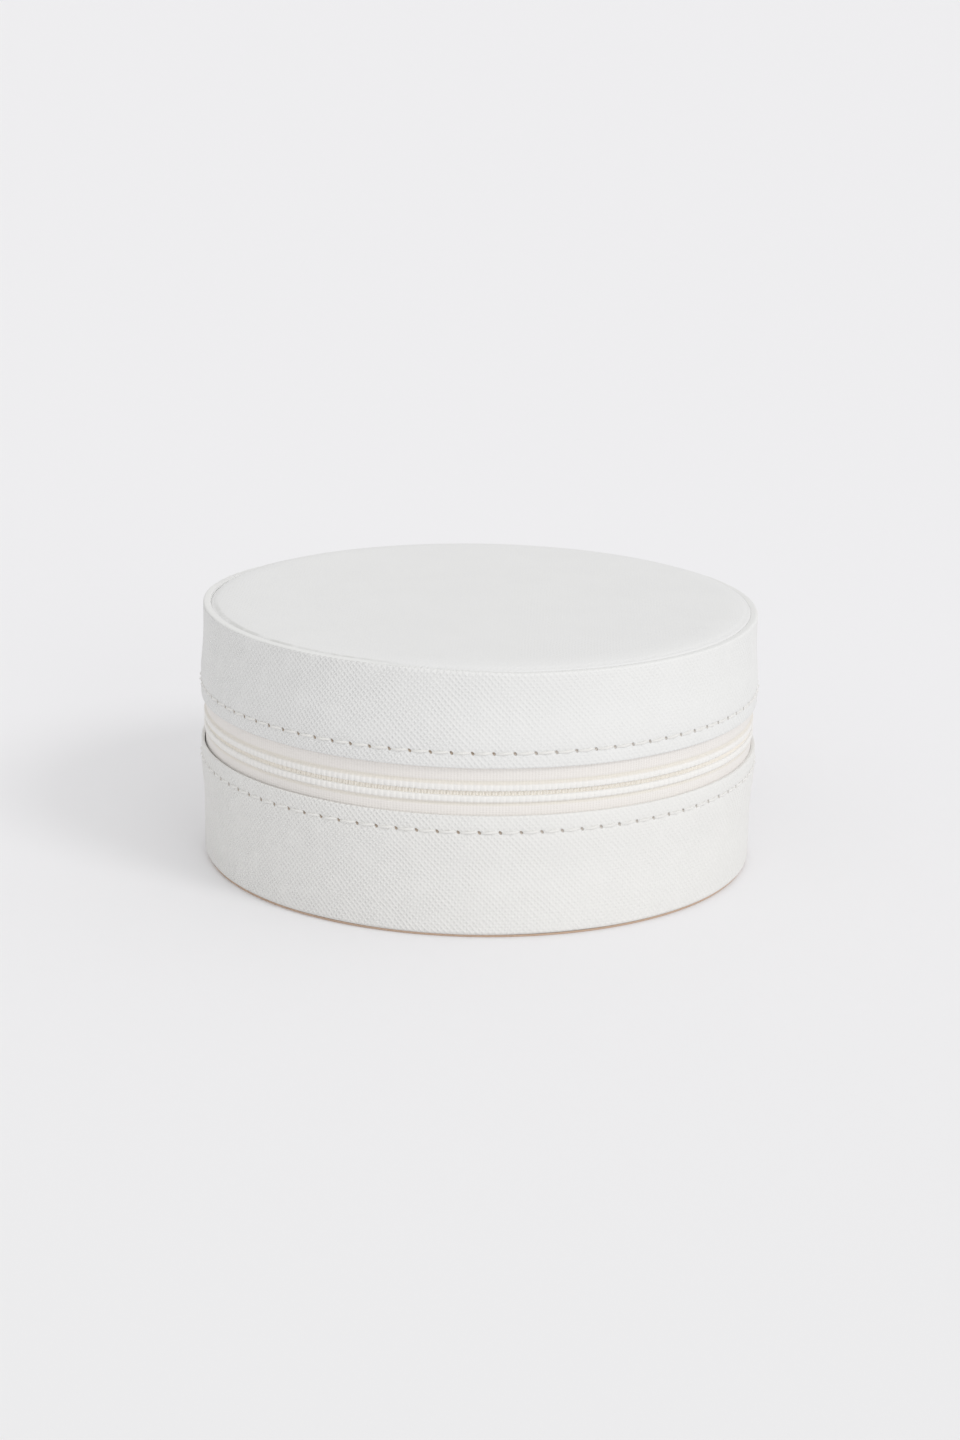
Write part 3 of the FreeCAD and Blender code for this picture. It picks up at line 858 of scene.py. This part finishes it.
def floor_pad():
    """The thin pad on the floor, rounded over at its edge."""
    low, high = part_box("base_floor_pad")
    out = high.x
    edge_wide, edge_low = 1.2 * MM, low.z + 0.3 * MM
    outline = [(0.0, low.z), (0.0, high.z)]
    outline += [(out * share, high.z) for share in (0.3, 0.6, 0.8, 0.92)]
    outline += curve((out - edge_wide, edge_low), edge_wide, high.z - edge_low, 70, 0, 5)
    outline += [(out, low.z)]
    piece = turned("floor_pad_velvet", outline, 180)
    uneven(piece, amount=0.25 * MM, grain=12 * MM)
    smooth(piece, 60)
    finished(piece, "base", VELVET, "velvet", "base_floor_pad")


def divider(node):
    """A partition covered in velvet."""
    piece = eased(node, node + "_velvet", width=0.9 * MM, segments=4)
    finished(piece, "base", VELVET, "velvet", node)


def stuffed(piece, glued, grain, most):
    """Blow a piece up as a cloth cover over its stuffing, at many times its size.

    The corners that answer to a test stay where they are glued, and none moves further than the
    most.
    """
    larger, pressure, moments = 20.0, 4.0, 20
    edit(piece)
    bpy.ops.mesh.select_all(action="SELECT")
    bpy.ops.transform.resize(value=(larger, larger, larger), center_override=(0, 0, 0))
    done()
    even = piece.modifiers.new("even", "REMESH")
    even.mode = "VOXEL"
    even.voxel_size = grain * larger
    apply_all(piece)
    corners = piece.data.vertices
    held = piece.vertex_groups.new(name="glued")
    held.add([corner.index for corner in corners if glued(corner.co / larger)], 1.0, "ADD")
    before = [corner.co.copy() for corner in corners]
    cover = piece.modifiers.new("cover", "CLOTH")
    cover.settings.vertex_group_mass = "glued"
    cover.settings.use_pressure = True
    cover.settings.uniform_pressure_force = pressure
    cover.settings.effector_weights.gravity = 0.0
    for moment in range(1, moments + 1):
        bpy.context.scene.frame_set(moment)
    apply_all(piece)
    bpy.context.scene.frame_set(1)
    for corner, place in zip(piece.data.vertices, before):
        step = corner.co - place
        if step.length > most * larger:
            corner.co = place + step * (most * larger / step.length)
    piece.vertex_groups.clear()
    edit(piece)
    bpy.ops.mesh.select_all(action="SELECT")
    smaller = 1 / larger
    bpy.ops.transform.resize(value=(smaller, smaller, smaller), center_override=(0, 0, 0))
    done()


def ring_roll(node):
    """A stuffed roll: a rounded section, pulled along its length, closed at its ends and blown up."""
    low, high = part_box(node)
    middle = (low.y + high.y) / 2
    slack, corner, end = 0.5 * MM, 0.6 * MM, 2.2 * MM
    half = (high.y - low.y) / 2 - slack
    top = high.z - slack
    section = [(middle - half + corner, low.z), (middle - half, low.z + corner)]
    section += curve((middle, top - half), half, half, 180, 0, 12)
    section += [(middle + half, low.z + corner), (middle + half - corner, low.z)]
    points = [(low.x + end, y, z) for y, z in section]
    piece = line_through(node + "_velvet", points + points[:1])
    bpy.ops.mesh.select_all(action="SELECT")
    bpy.ops.mesh.remove_doubles(threshold=SAME_PLACE)
    steps = 24
    length = high.x - low.x - 2 * end
    centre = (low.z + top) / 2
    for step in range(steps):
        bpy.ops.mesh.extrude_region_move(TRANSFORM_OT_translate={"value": (length / steps, 0, 0)})
    closing = ((0.93, 0.9 * MM), (0.8, 0.5 * MM), (0.45, 0.2 * MM))
    for side in (1, -1):
        pick(piece, lambda place: place.x * side > length / 2 - 0.01 * MM)
        for share, pull in closing:
            bpy.ops.mesh.extrude_region_move(TRANSFORM_OT_translate={"value": (side * pull, 0, 0)})
            bpy.ops.transform.resize(value=(1, share, share), center_override=(0, middle, centre))
        bpy.ops.mesh.merge(type="CENTER")
    tidy_mesh()
    done()
    seam_pitch, seam_half = 9 * MM, 0.6 * MM
    glue_top, seam_top = low.z + 0.7 * MM, low.z + 2.2 * MM

    def glued(place):
        off_seam = abs(place.x / seam_pitch - round(place.x / seam_pitch)) * seam_pitch
        return place.z < glue_top or (place.z < seam_top and off_seam < seam_half)
    stuffed(piece, glued, grain=0.9 * MM, most=0.9 * MM)
    finer = piece.modifiers.new("finer", "SUBSURF")
    finer.levels = 1
    finer.render_levels = 1
    apply_all(piece)
    uneven(piece, amount=0.3 * MM, grain=7 * MM)
    smooth(piece, 80)
    finished(piece, "base", VELVET, "velvet", node)


def lid_lining():
    """Velvet inside the lid: a band round the wall and a soft ceiling round the mirror."""
    low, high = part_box("lid_wall_lining")
    inside = high.x - 0.5 * MM
    half, soft = 0.25 * MM, 0.3 * MM
    outline = [(high.x, low.z + soft), (high.x, high.z), (inside, high.z), (inside, low.z + 0.5 * MM)]
    outline += curve((high.x - half, low.z + soft), half, soft, 180, 360, 6)[1:-1]
    band = turned("lid_band_velvet", outline, 240)
    smooth(band, 60)
    finished(band, "lid", VELVET, "velvet", "lid_wall_lining")

    low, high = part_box("lid_ceiling_lining")
    outline = [(0.0, high.z), (0.0, low.z), (high.x * 0.5, low.z), (high.x * 0.78, low.z)]
    outline += [(high.x * 0.87, low.z - 0.35 * MM), (high.x * 0.94, low.z - 0.3 * MM)]
    outline += [(high.x, low.z + 0.3 * MM), (high.x, high.z)]
    ceiling = turned("lid_ceiling_velvet", outline, 180)
    smooth(ceiling, 60)
    finished(ceiling, "lid", VELVET, "velvet", "lid_ceiling_lining")


def mirror():
    """Round mirror glass in a padded velvet ring."""
    low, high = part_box("mirror_frame")
    glass = reach("mirror_glass")
    middle = (glass + high.x) / 2
    half = (high.x - glass) / 2
    outline = [(glass, high.z), (glass, low.z + half)]
    outline += curve((middle, low.z + half), half, half, 180, 360, 10)
    outline += [(high.x, high.z)]
    ring = turned("mirror_ring_velvet", outline, 200)
    uneven(ring, amount=0.2 * MM, grain=6 * MM)
    smooth(ring, 60)
    finished(ring, "lid", VELVET, "velvet", "mirror_frame")
    plate = eased("mirror_glass", "mirror_plate", width=0.35 * MM, segments=2)
    finished(plate, "lid", SILVER, "mirror", "mirror_glass")


# The case, put together

lid_wall()
lid_panel()
base_wall()
bottom_cover()
stitches("lid_stitches", "lid", THREAD_OUT, LID_SEAM, LID_SEAM_SHIFT + HALF_STITCH, STITCHES)
stitches("base_stitches", "base", THREAD_OUT, BASE_SEAM, BASE_SEAM_SHIFT + HALF_STITCH, STITCHES)
zip_tape("zip_tape_upper_woven", "zip_tape_upper", 1, "lid")
zip_tape("zip_tape_lower_woven", "zip_tape_lower", -1, "base")
zip_coil("zip_teeth_upper", "zip_coil_upper", 1, "lid", 0.0)
zip_coil("zip_teeth_lower", "zip_coil_lower", -1, "base", TOOTH_TURN / 2)
for stop in ("lower_left", "lower_right"):
    metal_piece("zip_stop_" + stop, 0.2 * MM, "base")
for stop in ("upper_left", "upper_right"):
    metal_piece("zip_stop_" + stop, 0.2 * MM, "lid")
metal_piece("slider_body", 0.25 * MM, "slider")
metal_piece("slider_crown", 0.35 * MM, "slider")
metal_piece("pull_tab", 0.3 * MM, "pull")
hinge_strip()
base_lining()
floor_pad()
divider("divider_main")
divider("divider_cross")
for roll in ("ring_roll_1", "ring_roll_2", "ring_roll_3"):
    ring_roll(roll)
lid_lining()
mirror()

HIDDEN_FINISHES = {
    "base_wall_board": GREY_BOARD,
    "base_floor_board": GREY_BOARD,
    "base_liner_board": GREY_BOARD,
    "lid_wall_board": GREY_BOARD,
    "lid_top_board": GREY_BOARD,
    "lid_inner_board": GREY_BOARD,
    "lid_top_foam": FOAM,
}
for node, material in HIDDEN_FINISHES.items():
    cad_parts[node].data.materials.clear()
    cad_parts[node].data.materials.append(material)


# Floor, light and camera

def floor():
    """A wide sheet of pale paper, with painted light: a little paler behind the case and darker towards
    the front.
    """
    bpy.ops.object.select_all(action="DESELECT")
    bpy.ops.mesh.primitive_plane_add(size=40)
    ground = started("floor")
    material, place, shader = finish("floor_paper", Roughness=0.9, Specular_IOR_Level=0.1)
    # Painted light: the paper's colour is paler behind the case and darker towards the front.
    further = place.part(1).ramp(-0.3, 0.1)
    feed(shader, "Base Color", further.mix((0.863, 0.861, 0.869, 1), (0.882, 0.877, 0.891, 1)))
    ground.data.materials.append(material)


def lamp(name, energy, width, turn, height):
    """A far light. In degrees: how wide it looks, its turn from front to right, and its height."""
    light = bpy.data.lights.new(name, "SUN")
    light.energy = energy
    light.angle = math.radians(width)
    holder = bpy.data.objects.new(name, light)
    bpy.context.scene.collection.objects.link(holder)
    turn, height = math.radians(turn), math.radians(height)
    level = math.cos(height)
    towards = Vector((-math.sin(turn) * level, math.cos(turn) * level, -math.sin(height)))
    holder.rotation_euler = towards.to_track_quat("-Z", "Y").to_euler()


def lights():
    """A white room, seen a little brighter than it lights, and two lamps."""
    room_light, seen_extra = 0.825, 0.03
    world = bpy.data.worlds.new("room")
    bpy.context.scene.world = world
    world.use_nodes = True
    tree = world.node_tree
    room = tree.nodes["Background"]
    room.inputs["Color"].default_value = (1, 1, 1, 1)
    rays = tree.nodes.new("ShaderNodeLightPath").outputs
    seen = Wire(world, rays["Is Camera Ray"]) + Wire(world, rays["Is Glossy Ray"])
    seen = seen + Wire(world, rays["Is Transmission Ray"])
    feed(room, "Strength", seen * seen_extra + room_light)
    lamp("studio_lamp", energy=0.62, width=18, turn=50, height=38)
    lamp("front_fill", energy=0.33, width=24, turn=26, height=15)


def camera():
    """The photo's camera, as fitted to the outline of the case."""
    lens = bpy.data.cameras.new("camera")
    lens.sensor_fit = "VERTICAL"
    lens.sensor_height = 36
    lens.lens = 70
    lens.shift_x = 0.00106
    lens.shift_y = 0.00447
    seen_from = bpy.data.objects.new("camera", lens)
    bpy.context.scene.collection.objects.link(seen_from)
    rise, away = math.radians(16.05), 0.5645
    target = Vector((0, 0, 0.025))
    seen_from.location = target + away * Vector((0, -math.cos(rise), math.sin(rise)))
    aim = (target - seen_from.location).to_track_quat("-Z", "Y")
    tilt = Quaternion((0, 0, 1), math.radians(1.03))
    seen_from.rotation_euler = (aim @ tilt).to_euler()
    bpy.context.scene.camera = seen_from


floor()
lights()
camera()
bpy.context.scene.view_settings.view_transform = "Standard"
